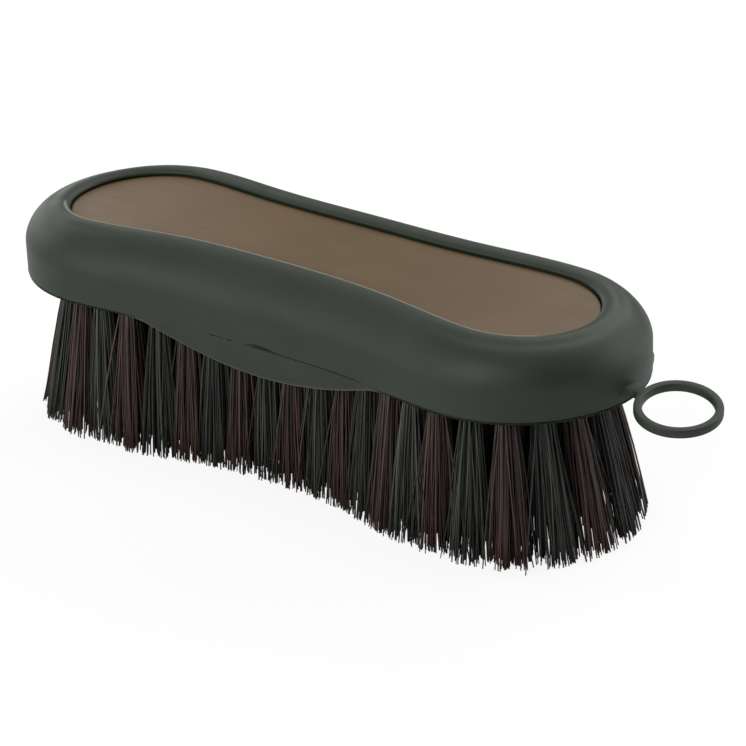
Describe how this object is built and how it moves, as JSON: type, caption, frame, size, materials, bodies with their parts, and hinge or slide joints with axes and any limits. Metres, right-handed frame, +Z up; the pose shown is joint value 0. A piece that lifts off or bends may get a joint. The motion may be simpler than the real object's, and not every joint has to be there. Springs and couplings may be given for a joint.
{
  "type": "grooming brush",
  "caption": "Horse grooming brush with a soft rubber grip cover, brown inlay panel, black and brown bristle tufts and a hanging ring.",
  "frame": {"origin": "middle of the plane of the bristle tips, under the middle of the body", "axes": "+X along the body towards the hanging ring, +Z up out of the back of the brush, +Y to the left"},
  "size_m": [0.2041, 0.0626, 0.058],
  "materials": {
    "soft_grip_rubber": "matte",
    "block_plastic": "satin",
    "inlay_plastic": "satin",
    "black_bristle": "satin",
    "brown_bristle": "satin",
    "anchor_wire": "satin"
  },
  "bodies": {
    "root": {"anchors_centre": "anchor_wire", "anchors_left_inner": "anchor_wire", "anchors_left_middle": "anchor_wire", "anchors_left_outer": "anchor_wire", "anchors_right_inner": "anchor_wire", "anchors_right_middle": "anchor_wire", "anchors_right_outer": "anchor_wire", "brush_block": "block_plastic", "grip_cover": "soft_grip_rubber", "top_inlay": "inlay_plastic", "tufts_black_centre": "black_bristle", "tufts_black_left_inner": "black_bristle", "tufts_black_left_middle": "black_bristle", "tufts_black_left_outer": "black_bristle", "tufts_black_right_inner": "black_bristle", "tufts_black_right_middle": "black_bristle", "tufts_black_right_outer": "black_bristle", "tufts_brown_centre": "brown_bristle", "tufts_brown_left_inner": "brown_bristle", "tufts_brown_left_middle": "brown_bristle", "tufts_brown_left_outer": "brown_bristle", "tufts_brown_right_inner": "brown_bristle", "tufts_brown_right_middle": "brown_bristle", "tufts_brown_right_outer": "brown_bristle"}
  },
  "joints": []
}
